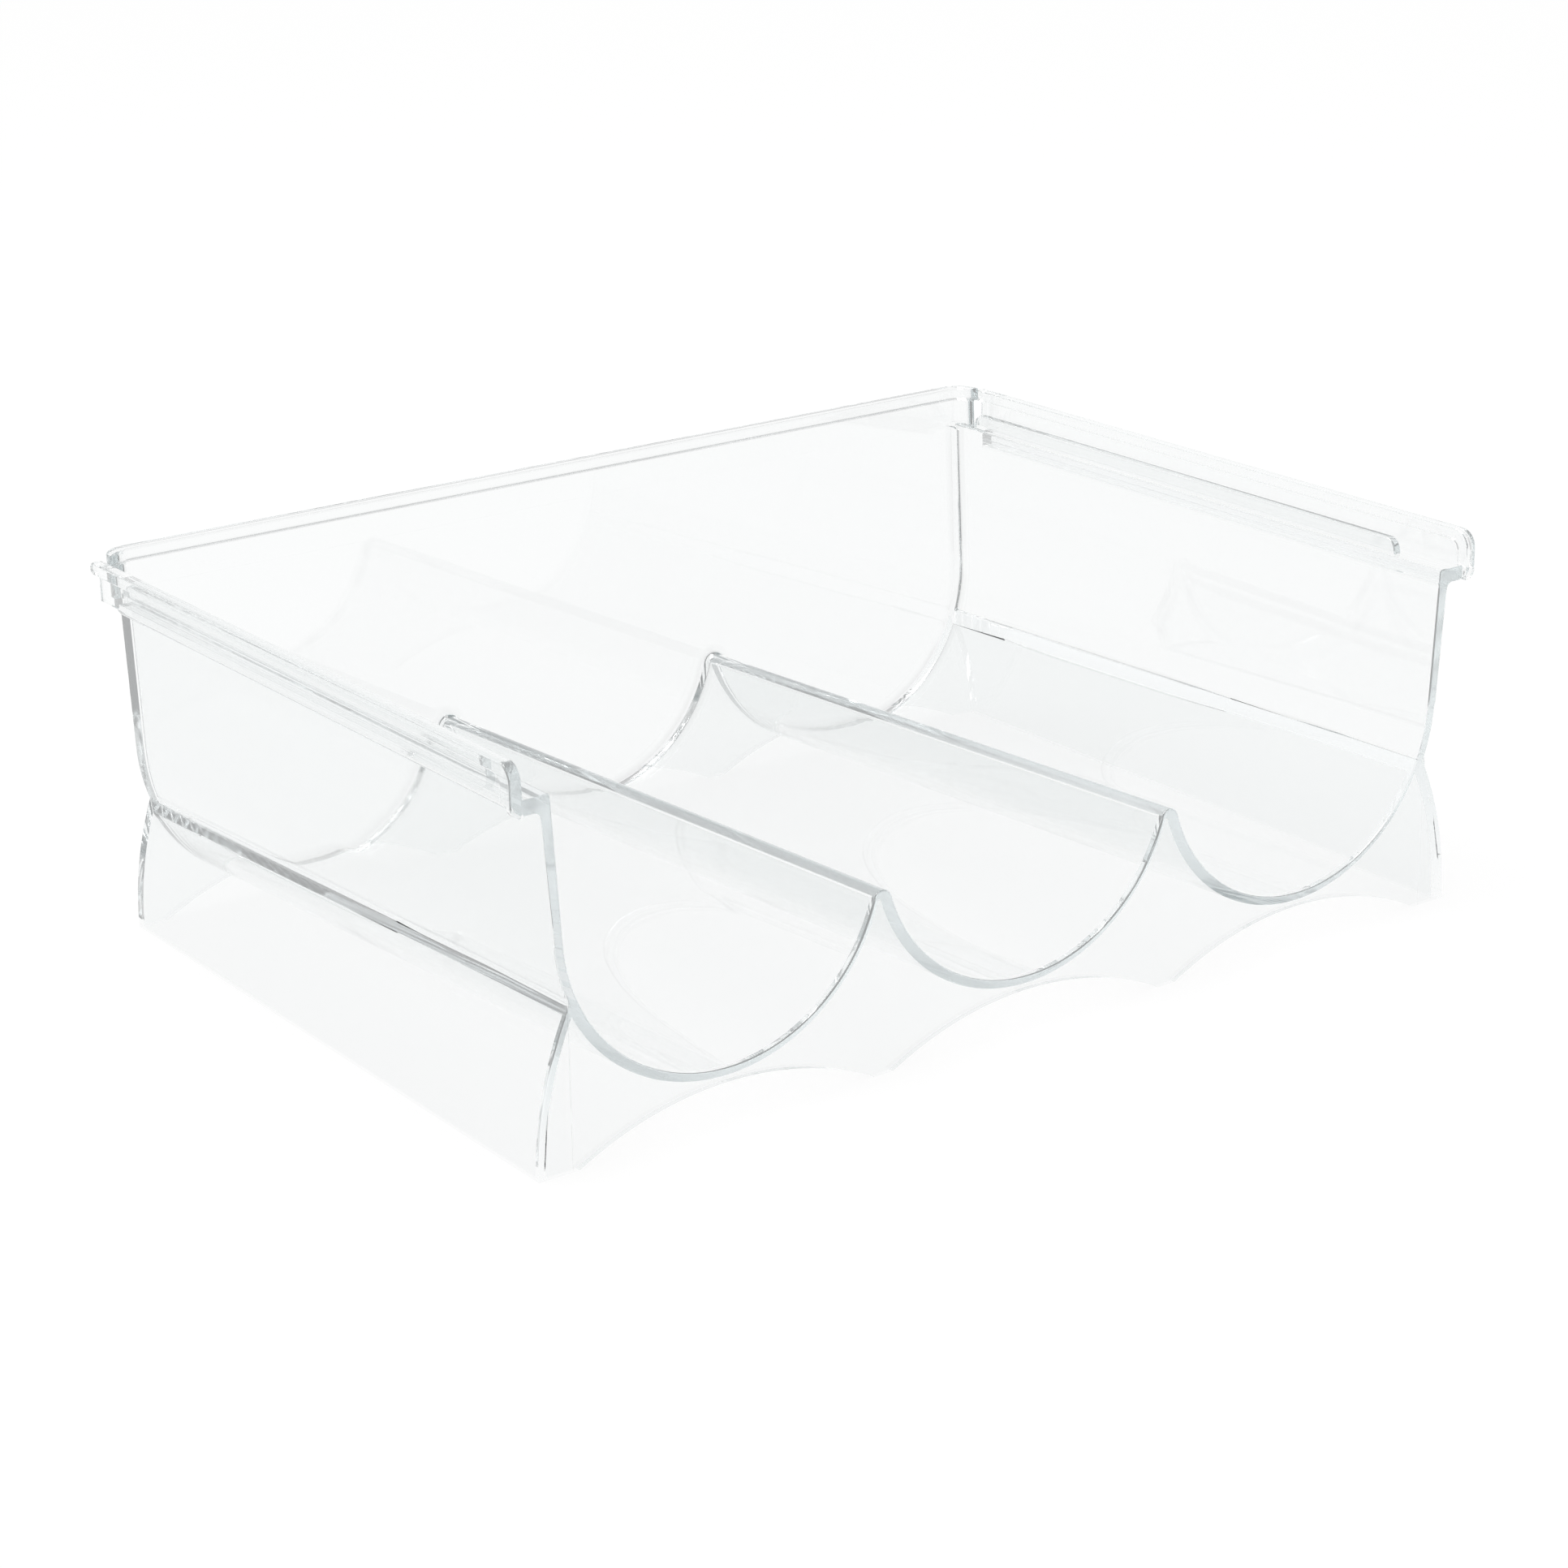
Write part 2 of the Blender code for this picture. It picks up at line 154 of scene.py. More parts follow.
# %% [markdown]
# Each surface of the sheet is drawn as a chain of edges, the way a draughtsman draws it: a
# vertex is pulled straight along the wall, then swung round the axis of each trough and
# over each crest. Spinning a single vertex leaves the arc behind it, so no coordinates are
# worked out by hand. The upper chain and the lower chain are the two faces of the sheet.


# %% Helpers that draw a chain of edges
def pull(shell, vertex, x, z):
    """Extrude a vertex straight to (x, z) and return its new end."""
    end = bmesh.ops.extrude_vert_indiv(shell, verts=[vertex])["verts"][0]
    end.co = (x, vertex.co.y, z)
    return end


def swing(shell, vertex, centre, angle, steps):
    """Spin a vertex about an axis along the rack; a positive angle takes a floor towards +X."""
    spun = bmesh.ops.spin(shell, geom=[vertex], cent=(centre[0], vertex.co.y, centre[1]),
                          axis=(0.0, -1.0, 0.0), angle=angle, steps=steps, use_duplicate=False)
    return next(item for item in spun["geom_last"] if isinstance(item, bmesh.types.BMVert))


def angle_below(centre, x, z):
    """Angle of a point as seen from a centre, measured from straight down towards +X."""
    return math.atan2(x - centre[0], centre[1] - z)


def edges_of(verts):
    """The edges at these vertices, each one once and in the same order in every run."""
    return list(dict.fromkeys(edge for vert in verts for edge in vert.link_edges))


def crossing(first, first_radius, second, second_radius):
    """The crossing of two circles that lies farther out."""
    gap = Vector(second) - Vector(first)
    along = (first_radius ** 2 - second_radius ** 2 + gap.length ** 2) / (2 * gap.length)
    across = math.sqrt(first_radius ** 2 - along ** 2)
    middle = Vector(first) + gap.normalized() * along
    sideways = Vector((-gap.y, gap.x)).normalized() * across
    return max((middle + sideways, middle - sideways), key=lambda point: point.x)


class Station:
    """The cross-section at the front (share 0) or at the back (share 1)."""

    def __init__(self, share):
        self.height = centre_height - trough_drop * share
        self.outer = pitch + side_splay * share
        reach = math.hypot(wall_top_x - self.outer, ledge_top - self.height)
        lean = math.atan2(wall_top_x - self.outer, ledge_top - self.height)
        self.wall_angle = math.pi - lean - math.acos(trough_radius / reach)

    def wall_x(self, height):
        """Inner face of the right-hand wall at this height."""
        start = self.outer + trough_radius * math.sin(self.wall_angle)
        rise = height - self.height + trough_radius * math.cos(self.wall_angle)
        return start - rise * math.tan(self.wall_angle - math.pi / 2)

    def wall_outer_x(self, height):
        """Outer face of the right-hand wall at this height."""
        return self.wall_x(height) + wall / math.sin(self.wall_angle)


front_end = Station(0.0)
back_end = Station(1.0)
print("wall meets trough at", round(math.degrees(front_end.wall_angle), 1), "degrees from the floor")

# %% [markdown]
# The loft between the front and the back section is one operator, bridge_loops. The two
# closed loops have the same number of vertices, so the faces run straight along the rack
# like the strokes of the tool that cut the mould. The back section is lower and wider, so
# long faces would be slightly twisted. Cutting the loft across into short strips keeps
# each face nearly flat, and clear plastic then bends light evenly.


# %% The W-shaped sheet of troughs, ridges and walls
def sheet_chain(shell, station, radius, crest, wall_x, top):
    """One face of the sheet from the left wall top to the right one, in the XZ plane."""
    tangent = math.asin(pitch / 2 / (radius + crest))
    crest_z = station.height - (radius + crest) * math.cos(tangent)
    first = shell.verts.new((-wall_x(top), 0.0, top))
    turned = station.wall_angle
    near_x = station.outer + radius * math.sin(turned)
    near_z = station.height - radius * math.cos(turned)
    end = pull(shell, first, -near_x, near_z)
    end = swing(shell, end, (-station.outer, station.height), turned, wall_steps)
    end = pull(shell, end, -pitch, end.co.z)
    end = swing(shell, end, (-pitch, station.height), tangent, trough_steps // 2)
    for number in (-1, 1):
        end = swing(shell, end, (number * pitch / 2, crest_z), -2 * tangent, crest_steps)
        if number < 0:
            end = swing(shell, end, (0.0, station.height), 2 * tangent, trough_steps)
    end = swing(shell, end, (pitch, station.height), tangent, trough_steps // 2)
    end = pull(shell, end, station.outer, end.co.z)
    end = swing(shell, end, (station.outer, station.height), turned, wall_steps)
    end = pull(shell, end, wall_x(top), top)
    return first, end


def sheet_loop(shell, station, top, face):
    """The closed cross-section of the sheet at one end of the rack."""
    before = set(shell.verts)
    upper = sheet_chain(shell, station, trough_radius, crest_radius, station.wall_x, top)
    lower = sheet_chain(shell, station, trough_radius + sheet, under_radius, station.wall_outer_x, top)
    shell.edges.new((upper[0], lower[0]))
    shell.edges.new((upper[1], lower[1]))
    loop = [vert for vert in shell.verts if vert not in before]
    for vert in loop:
        vert.co.y = face(vert.co.z)
    return edges_of(loop)


def close_loft(shell, near, far):
    """Bridge two closed loops, close both ends and turn the faces outwards."""
    bmesh.ops.bridge_loops(shell, edges=near + far)
    bmesh.ops.contextual_create(shell, geom=near)
    bmesh.ops.contextual_create(shell, geom=far)
    bmesh.ops.remove_doubles(shell, verts=shell.verts, dist=weld)
    bmesh.ops.recalc_face_normals(shell, faces=shell.faces)


def slice_across(shell, strips=8):
    """Cut a twisted loft into short strips, so that each face is nearly flat."""
    for number in range(1, strips):
        whole = shell.verts[:] + shell.edges[:] + shell.faces[:]
        bmesh.ops.bisect_plane(shell, geom=whole, dist=weld / 2,
                               plane_co=(0.0, front_y + depth * number / strips, 0.0),
                               plane_no=(0.0, 1.0, 0.0))


def keep(name, shell):
    """Store a bmesh as an object at the origin and print whether it is closed."""
    loose = sum(1 for edge in shell.edges if not edge.is_manifold)
    print(name, len(shell.faces), "faces,", loose, "open edges")
    mesh = bpy.data.meshes.new(name)
    shell.to_mesh(mesh)
    shell.free()
    item = bpy.data.objects.new(name, mesh)
    bpy.context.scene.collection.objects.link(item)
    return item


def into_back(height):
    """The middle of the back wall, where the sheet ends inside it."""
    return back_face(height) + back_thickness / 2


def soften(shell, edges, radius, segments=3):
    """Round the given edges, as a polished tool leaves them."""
    bmesh.ops.bevel(shell, geom=list(edges), offset=radius, segments=segments, profile=0.5,
                    affect="EDGES", material=-1, clamp_overlap=False)


def sharp_edges(shell, test):
    """Outer edges that turn sharply and pass the test at both ends."""
    return [edge for edge in shell.edges
            if edge.is_manifold and edge.calc_face_angle_signed() > sharp_turn
            and all(test(vert.co) for vert in edge.verts)]


def at_front(vert):
    """True on the front face of the rack."""
    return abs(vert.co.y - front_face(vert.co.z)) < hair


def above_sheet(vert, station):
    """True on the upper face of the sheet: inside a trough, on a crest or against a wall."""
    across = abs(vert.co.x)
    if vert.co.z > station.height:
        return across < station.wall_x(vert.co.z) + wall / 2
    axis = 0.0 if across < pitch / 2 else min(max(across, pitch), station.outer)
    crest_z = station.height - math.sqrt((trough_radius + crest_radius) ** 2 - pitch ** 2 / 4)
    on_crest = abs(math.hypot(across - pitch / 2, vert.co.z - crest_z) - crest_radius) < 2 * slack
    return math.hypot(across - axis, vert.co.z - station.height) < trough_radius + sheet / 2 or on_crest


shell = bmesh.new()
near = sheet_loop(shell, front_end, ledge_top, front_face)
far = sheet_loop(shell, back_end, ledge_top, into_back)
close_loft(shell, near, far)
wall_rims = [edge for edge in shell.edges
             if all(vert.co.z > ledge_top - hair for vert in edge.verts)
             and edge.verts[0].co.x * edge.verts[1].co.x > 0 and edge.calc_length() > depth / 2
             and abs(edge.verts[0].co.x) < wall_top_x + wall / 2]
wall_rim_round = 0.0008
soften(shell, wall_rims, wall_rim_round, 5)
slice_across(shell)
rack = keep("clear_rack", shell)

# %% [markdown]
# A side skirt hangs from each waist, where the outer trough is widest, down to the shelf.
# It is slightly bowed, which stiffens it and lets a second rack nest. It starts inside the
# sheet, so that the two run into each other as they do in one moulding.

# %% Side skirts
skirt_x = 0.1430
skirt_thickness = 0.0029
bow_radius = 0.0920
bow_centre = (skirt_x - bow_radius, 0.0)


def skirt_loop(shell, station, face):
    """The closed cross-section of the right-hand skirt at one end of the rack."""
    trough = (station.outer, station.height)
    inside = trough_radius + sheet * 0.6
    tip = crossing(bow_centre, bow_radius, trough, inside)
    root = crossing(bow_centre, bow_radius - skirt_thickness, trough, inside)
    before = set(shell.verts)
    first = shell.verts.new((skirt_x, 0.0, 0.0))
    rise = angle_below(bow_centre, tip.x, tip.y) - math.pi / 2
    outer_end = swing(shell, first, bow_centre, rise, bow_steps)
    second = shell.verts.new((skirt_x - skirt_thickness, 0.0, 0.0))
    rise = angle_below(bow_centre, root.x, root.y) - math.pi / 2
    inner_end = swing(shell, second, bow_centre, rise, bow_steps)
    shell.edges.new((first, second))
    shell.edges.new((outer_end, inner_end))
    loop = [vert for vert in shell.verts if vert not in before]
    for vert in loop:
        vert.co.y = face(vert.co.z)
    return edges_of(loop)


def mirror_over(shell):
    """Add the left-hand copy of a right-hand shape."""
    copy = bmesh.ops.duplicate(shell, geom=shell.verts[:] + shell.edges[:] + shell.faces[:])["geom"]
    verts = [item for item in copy if isinstance(item, bmesh.types.BMVert)]
    bmesh.ops.scale(shell, vec=(-1.0, 1.0, 1.0), verts=verts)
    bmesh.ops.recalc_face_normals(shell, faces=shell.faces)


shell = bmesh.new()
near = skirt_loop(shell, front_end, front_face)
far = skirt_loop(shell, back_end, into_back)
close_loft(shell, near, far)
slice_across(shell)
mirror_over(shell)
parts = [keep("side_skirts", shell)]

# %% [markdown]
# The front web closes the space below the troughs. Its lower edge is three shallow arches
# that leave small feet, so that the rack stands on few points and can be lifted at its
# edge. The outline is drawn once as a loop of edges, filled, and pushed back by its
# thickness.

# %% Front web with its arches
foot_width = 0.0055
end_foot = 0.0095
arch_height = 0.0106
arch_half = (pitch - foot_width) / 2
arch_radius = (arch_half ** 2 + arch_height ** 2) / (2 * arch_height)
arch_sweep = math.asin(arch_half / arch_radius)


def arch(shell, vertex, middle, reach_left, reach_right, end_x):
    """A foot and an arch: a short pull along the shelf, then a swing over the arch."""
    start = pull(shell, vertex, middle - reach_left, 0.0)
    before = set(shell.verts)
    start.co.x = middle - arch_half
    end = swing(shell, start, (middle, arch_height - arch_radius), -2 * arch_sweep, arch_steps)
    span = [vert for vert in shell.verts if vert not in before] + [start]
    for vert in span:
        offset = vert.co.x - middle
        stretch = (reach_right if offset > 0 else reach_left) / arch_half
        vert.co.x = middle + offset * stretch
    return pull(shell, end, end_x, 0.0)


def bottom(shell, end_x):
    """The lower edge with its four feet and three arches; returns its right-hand end."""
    first = shell.verts.new((-end_x, 0.0, 0.0))
    far_reach = end_x - end_foot - pitch
    end = arch(shell, first, -pitch, far_reach, arch_half, -pitch / 2)
    end = arch(shell, end, 0.0, arch_half, arch_half, pitch / 2)
    return arch(shell, end, pitch, arch_half, far_reach, end_x)


def fill_plate(shell, face, thickness):
    """Lean a flat outline on to its face, fill it and push it back by its thickness."""
    for vert in shell.verts:
        vert.co.y = face(vert.co.z)
    bmesh.ops.remove_doubles(shell, verts=shell.verts, dist=weld)
    filled = bmesh.ops.contextual_create(shell, geom=shell.edges[:])["faces"]
    pushed = bmesh.ops.extrude_face_region(shell, geom=filled)["geom"]
    moved = [item for item in pushed if isinstance(item, bmesh.types.BMVert)]
    bmesh.ops.translate(shell, verts=moved, vec=(0.0, thickness, 0.0))
    bmesh.ops.recalc_face_normals(shell, faces=shell.faces)


inside = trough_radius + sheet * 0.6
web_bow = bow_radius - skirt_thickness * 0.5
shell = bmesh.new()
right = bottom(shell, bow_centre[0] + web_bow)
corner = crossing(bow_centre, web_bow, (front_end.outer, front_end.height), inside)
meet = math.asin(pitch / 2 / inside)
rise = angle_below(bow_centre, corner.x, corner.y) - math.pi / 2
end = swing(shell, right, bow_centre, rise, bow_steps)
sweep = angle_below((front_end.outer, front_end.height), corner.x, corner.y)
end = swing(shell, end, (pitch, front_end.height), -(sweep + meet), web_steps)
end = swing(shell, end, (0.0, front_end.height), -2 * meet, trough_steps)
end = swing(shell, end, (-pitch, front_end.height), -(sweep + meet), web_steps)
end = swing(shell, end, (-bow_centre[0], 0.0), rise, bow_steps)
crest_axis = front_end.height - math.sqrt((trough_radius + crest_radius) ** 2 - pitch ** 2 / 4)
crest_core = crest_axis + crest_radius / 2
for vert in shell.verts:
    vert.co.z = min(vert.co.z, crest_core)
fill_plate(shell, front_face, skirt_thickness)
parts.append(keep("front_web", shell))

# %% [markdown]
# Where two parts of a mould meet they leave a hairline of plastic. On the photographed rack
# one runs up each end of the front, from the foot to the waist. It is a cube, scaled to a
# bead, that stands a hair proud of the web and reaches into it.

# %% Parting lines
line_x = 0.1337
line_top = 0.0418
line_width = 0.00025
line_depth = 0.0010
line_proud = 0.00008
line_gap = 0.0001
shell = bmesh.new()
bmesh.ops.create_cube(shell, size=1.0)
bmesh.ops.scale(shell, vec=(line_width, line_depth, line_top - 2 * line_gap), verts=shell.verts)
bmesh.ops.translate(shell, vec=(line_x, line_depth / 2 - line_proud, line_top / 2), verts=shell.verts)
for vert in shell.verts:
    vert.co.y += front_face(vert.co.z)
mirror_over(shell)
parts.append(keep("parting_lines", shell))

# %% [markdown]
# The back wall stops the bottles and ties the two side walls together. It stands from the
# shelf to the rim. Its lower edge follows the undersides of the troughs, which come closer
# to the shelf at the back, and the small arches between them.

# %% Back wall
outer_corner_x = 0.1333
outer_corner_round = 0.0022
bite = 0.0002
shell = bmesh.new()
right = bottom(shell, skirt_x)
for vert in shell.verts:
    number = round(vert.co.x / pitch)
    number = max(-1, min(1, number))
    middle = number * pitch
    if (vert.co.x - middle) * number > 0:
        middle += number * side_splay
    reach = (trough_radius + sheet) ** 2 - (vert.co.x - middle) ** 2
    if reach > 0 and vert.co.z > 0:
        vert.co.z = min(vert.co.z, back_end.height - math.sqrt(reach) + bite)
waist = crossing(bow_centre, bow_radius, (back_end.outer, back_end.height), trough_radius + sheet)
rise = angle_below(bow_centre, waist.x, waist.y) - math.pi / 2
turned = back_end.wall_angle
waist_angle = angle_below((back_end.outer, back_end.height), waist.x, waist.y)
end = swing(shell, right, bow_centre, rise, bow_steps)
end = swing(shell, end, (back_end.outer, back_end.height), turned - waist_angle, round_steps)
end = pull(shell, end, back_end.wall_outer_x(ledge_top), ledge_top)
end = pull(shell, end, -back_end.wall_outer_x(ledge_top), ledge_top)
end = pull(shell, end, -back_end.outer - (trough_radius + sheet) * math.sin(turned),
           back_end.height - (trough_radius + sheet) * math.cos(turned))
end = swing(shell, end, (-back_end.outer, back_end.height), turned - waist_angle, round_steps)
end = swing(shell, end, (-bow_centre[0], 0.0), rise, bow_steps)
fill_plate(shell, back_face, back_thickness)
outer_corners = [edge for edge in shell.edges
                 if all(vert.co.y > into_back(vert.co.z) and abs(vert.co.x) > outer_corner_x
                        for vert in edge.verts)
                 and abs(edge.verts[0].co.z - edge.verts[1].co.z) > slack
                 and edge.verts[0].co.x * edge.verts[1].co.x > 0]
bmesh.ops.bevel(shell, geom=outer_corners, offset=outer_corner_round, segments=6, profile=0.5,
                affect="EDGES", material=-1, clamp_overlap=True)
bmesh.ops.scale(shell, vec=(1 - seam_step / skirt_x, 1.0, 1.0), verts=shell.verts)
parts.append(keep("back_wall_sheet", shell))

# %% [markdown]
# The ledges carry the next rack. Each one is a flat shelf on the outside of the wall, with
# a rounded lower edge and a small fillet under the wall. It is lofted like the skirts, so
# it follows the slant of the wall from the front to the back.

# %% Ledges
flange_x = 0.1443
flange = 0.0022
lip_proud = 0.0010
flange_top = 0.1015
nose_y = front_y - 0.0022
ledge_setback = 0.0120
ledge_fillet = 0.0018
lip_width = 0.0044
rim_return = 0.0033


def ledge_loop(shell, station, face):
    """The closed cross-section of the right-hand ledge at one end of the rack."""
    outer = flange_x + flange
    round_radius = ledge_top - ledge_under
    under_wall = station.wall_outer_x(ledge_under - ledge_fillet)
    before = set(shell.verts)
    first = shell.verts.new((under_wall - wall / 2, 0.0, ledge_under - ledge_fillet))
    end = pull(shell, first, station.wall_x(ledge_top) + wall / 2, ledge_top)
    end = pull(shell, end, outer, ledge_top)
    end = swing(shell, end, (outer - round_radius, ledge_top), -math.pi / 2, 10)
    end = pull(shell, end, under_wall + ledge_fillet, ledge_under)
    end = swing(shell, end, (under_wall + ledge_fillet, ledge_under - ledge_fillet), math.pi / 2, 6)
    shell.edges.new((end, first))
    loop = [vert for vert in shell.verts if vert not in before]
    for vert in loop:
        vert.co.y = face(vert.co.z)
    return edges_of(loop)


shell = bmesh.new()
near = ledge_loop(shell, front_end, front_face)
far = ledge_loop(shell, back_end, lambda height: back_face(height) - ledge_setback)
close_loft(shell, near, far)
slice_across(shell)
mirror_over(shell)
parts.append(keep("ledges", shell))

# %% [markdown]
# On each ledge stand an upright flange at the outer edge and a low rib near the wall.
# Between the two the side skirt of the upper rack finds its place. The flange has a proud
# lip that runs along its top, round the front corner and down to the ledge. Each plate is
# a side view, drawn corner by corner and pushed out by its width, and then its edges are
# rounded.


# %% Flanges and ribs
def pull_to(shell, vertex, y, z):
    """Extrude a vertex straight to (y, z) and return its new end."""
    end = bmesh.ops.extrude_vert_indiv(shell, verts=[vertex])["verts"][0]
    end.co = (vertex.co.x, y, z)
    return end


def upright(shell, x, width, corners):
    """A standing plate of this width; its corners are (y, z, radius), in turn."""
    first = None
    last = None
    count = len(corners)
    for index, (y, z, radius) in enumerate(corners):
        before = Vector(corners[index - 1][:2]) - Vector((y, z))
        after = Vector(corners[(index + 1) % count][:2]) - Vector((y, z))
        enter = Vector((y, z)) + before.normalized() * radius
        centre = enter + after.normalized() * radius
        if last is None:
            first = last = shell.verts.new((x, enter.x, enter.y))
        else:
            last = pull_to(shell, last, enter.x, enter.y)
        if radius:
            turn_sign = 1 if before.x * after.y - before.y * after.x < 0 else -1
            spun = bmesh.ops.spin(shell, geom=[last], cent=(x, centre.x, centre.y),
                                  axis=(turn_sign, 0.0, 0.0), angle=math.pi / 2, steps=round_steps,
                                  use_duplicate=False)
            last = next(item for item in spun["geom_last"] if isinstance(item, bmesh.types.BMVert))
    shell.edges.new((last, first))
    filled = bmesh.ops.contextual_create(shell, geom=shell.edges[:])["faces"]
    pushed = bmesh.ops.extrude_face_region(shell, geom=filled)["geom"]
    moved = [item for item in pushed if isinstance(item, bmesh.types.BMVert)]
    bmesh.ops.translate(shell, verts=moved, vec=(width, 0.0, 0.0))
    bmesh.ops.recalc_face_normals(shell, faces=shell.faces)


panel_gap = 0.0026
panel_rear = back_face(ledge_top) - panel_gap
panel_front = nose_y + edge_round * 2
panel_top = flange_top - edge_round * 2
panel_corner = 0.0036
root = ledge_top - overlap
shell = bmesh.new()
upright(shell, flange_x, flange, [
    (panel_front, root, 0.0),
    (panel_rear, root, 0.0),
    (panel_rear, panel_top, 0.0),
    (panel_front, panel_top, panel_corner),
])
soften(shell, sharp_edges(shell, lambda place: place.y > panel_rear - slack), edge_round)
bmesh.ops.translate(shell, vec=(-seam_step, 0.0, 0.0), verts=shell.verts)
mirror_over(shell)
parts.append(keep("flange_panels", shell))

nose_back = front_face(ledge_top) + 0.0004
lip_inner_y = nose_y + lip_width
lip_under = flange_top - 0.0033
lip_rear = panel_rear + 0.0028
lip_outer_x = flange_x + flange + lip_proud
nose_round = 0.0045
nose_inner_round = 0.0028
rear_round = 0.0016
nose_foot_round = 0.0030
shell = bmesh.new()
upright(shell, flange_x, flange + lip_proud, [
    (nose_y, ledge_under, 0.0),
    (nose_back, ledge_under, 0.0),
    (nose_back, root, 0.0),
    (lip_inner_y, root, 0.0),
    (lip_inner_y, lip_under, nose_inner_round),
    (lip_rear, lip_under, rear_round),
    (lip_rear, flange_top, rear_round),
    (nose_y, flange_top, nose_round),
])
nose_foot = [edge for edge in shell.edges
             if all(vert.co.z < ledge_under + slack and vert.co.x > flange_x + flange
                    for vert in edge.verts)]
soften(shell, nose_foot, nose_foot_round, round_steps)
outer_rim = sharp_edges(shell, lambda place: abs(place.x - lip_outer_x) < slack)
soften(shell, outer_rim, edge_round)
inner_rim = sharp_edges(shell, lambda place: abs(place.x - flange_x) < slack and place.z > ledge_top)
soften(shell, inner_rim, edge_round)
mirror_over(shell)
parts.append(keep("flange_lips", shell))

rib_x = 0.1376
rib_width = 0.0024
rib_top = 0.0966
rib_round = 0.0034
rib_front = front_y + 0.0174
rib_rear = front_y + depth - 0.0040
shell = bmesh.new()
upright(shell, rib_x, rib_width, [
    (rib_front, root, 0.0),
    (rib_rear, root, 0.0),
    (rib_rear, rib_top, rib_round),
    (rib_front, rib_top, rib_round),
])
soften(shell, sharp_edges(shell, lambda place: place.z > ledge_top), edge_round)
mirror_over(shell)
parts.append(keep("stacking_ribs", shell))
print("ledge, flange and rib parts:", len(parts))

# %% [markdown]
# The rim crowns the back wall and turns forward a little at both rear corners. Its profile
# is an upright with an outward lip. The profile is drawn once, at the front end of the
# right-hand return, its corners are rounded, and it is swept along the whole rim: back
# along the return, round the corner, across the back, round the other corner and forward
# again. The faces that the sweep leaves inside are deleted.

# %% Back rim
rim_thickness = 0.0028
rim_top = 0.1028
rim_lip_height = 0.0036
rim_lip_proud = 0.0017
rim_x = wall_top_x + 0.0024
rim_corner_radius = 0.0060
rim_inner_radius = rim_corner_radius - rim_thickness

shell = bmesh.new()
rear_y = back_face(ledge_top)
corner_centre = (rim_x - rim_inner_radius, rear_y - rim_inner_radius)
rim_foot = ledge_top - 0.0012
start = shell.verts.new((rim_x, rear_y - rim_return, rim_foot))
profile = [start]
for step_x, step_z in ((rim_thickness, 0.0), (0.0, rim_top - rim_lip_height - rim_foot),
                       (rim_lip_proud, 0.0), (0.0, rim_lip_height), (-rim_thickness - rim_lip_proud, 0.0)):
    profile.append(pull(shell, profile[-1], profile[-1].co.x + step_x, profile[-1].co.z + step_z))
shell.edges.new((profile[-1], profile[0]))
bmesh.ops.contextual_create(shell, geom=edges_of(profile))
bmesh.ops.bevel(shell, geom=profile, offset=edge_round, segments=3, profile=0.5,
                affect="VERTICES", material=-1)
pushed = bmesh.ops.extrude_face_region(shell, geom=shell.faces[:])["geom"]
face_end = [item for item in pushed if isinstance(item, bmesh.types.BMFace)]
arm = corner_centre[1] - rear_y + rim_return
bmesh.ops.translate(shell, verts=face_end[0].verts[:], vec=(0.0, arm, 0.0))
spun = bmesh.ops.spin(shell, geom=face_end, cent=(corner_centre[0], corner_centre[1], 0.0),
                      axis=(0.0, 0.0, 1.0), angle=math.pi / 2, steps=12, use_duplicate=False)
face_end = [item for item in spun["geom_last"] if isinstance(item, bmesh.types.BMFace)]
pushed = bmesh.ops.extrude_face_region(shell, geom=face_end)["geom"]
moved = [item for item in pushed if isinstance(item, bmesh.types.BMVert)]
bmesh.ops.translate(shell, verts=moved, vec=(-2 * corner_centre[0], 0.0, 0.0))
face_end = [item for item in pushed if isinstance(item, bmesh.types.BMFace)]
spun = bmesh.ops.spin(shell, geom=face_end, cent=(-corner_centre[0], corner_centre[1], 0.0),
                      axis=(0.0, 0.0, 1.0), angle=math.pi / 2, steps=12, use_duplicate=False)
face_end = [item for item in spun["geom_last"] if isinstance(item, bmesh.types.BMFace)]
pushed = bmesh.ops.extrude_face_region(shell, geom=face_end)["geom"]
moved = [item for item in pushed if isinstance(item, bmesh.types.BMVert)]
bmesh.ops.translate(shell, verts=moved, vec=(0.0, -arm, 0.0))
inner = [face for face in shell.faces if all(len(edge.link_faces) > 2 for edge in face.edges)]
bmesh.ops.delete(shell, geom=inner, context="FACES_ONLY")
for vert in shell.verts:
    vert.co.y += (vert.co.z - ledge_top) * back_lean
bmesh.ops.remove_doubles(shell, verts=shell.verts, dist=weld)
bmesh.ops.recalc_face_normals(shell, faces=shell.faces)
bmesh.ops.translate(shell, vec=(0.0, seam_step, 0.0), verts=shell.verts)
parts.append(keep("rim_band", shell))

# %% [markdown]
# In the mould all of these spaces are one cavity. A Boolean union does the same: every part
# overlaps its neighbour a little, and the manifold solver removes what lies inside, which
# matters for clear plastic, because an inner face would show as a cut through it. That
# solver asks for closed parts and gives a closed solid back, the same one in every run.

# %% Fuse the moulding
def fuse(body, part):
    """Unite a closed part with the closed body and remove the part."""
    union = body.modifiers.new("fuse", "BOOLEAN")
    union.operation = "UNION"
    union.solver = "MANIFOLD"
    union.object = part
    graph = bpy.context.evaluated_depsgraph_get()
    fused = bpy.data.meshes.new_from_object(body.evaluated_get(graph))
    body.modifiers.clear()
    body.data = fused
    name = part.name
    bpy.data.objects.remove(part, do_unlink=True)
    shell = bmesh.new()
    shell.from_mesh(fused)
    loose = sum(1 for edge in shell.edges if not edge.is_manifold)
    print("with", name, len(shell.faces), "faces,", loose, "open edges")
    shell.free()


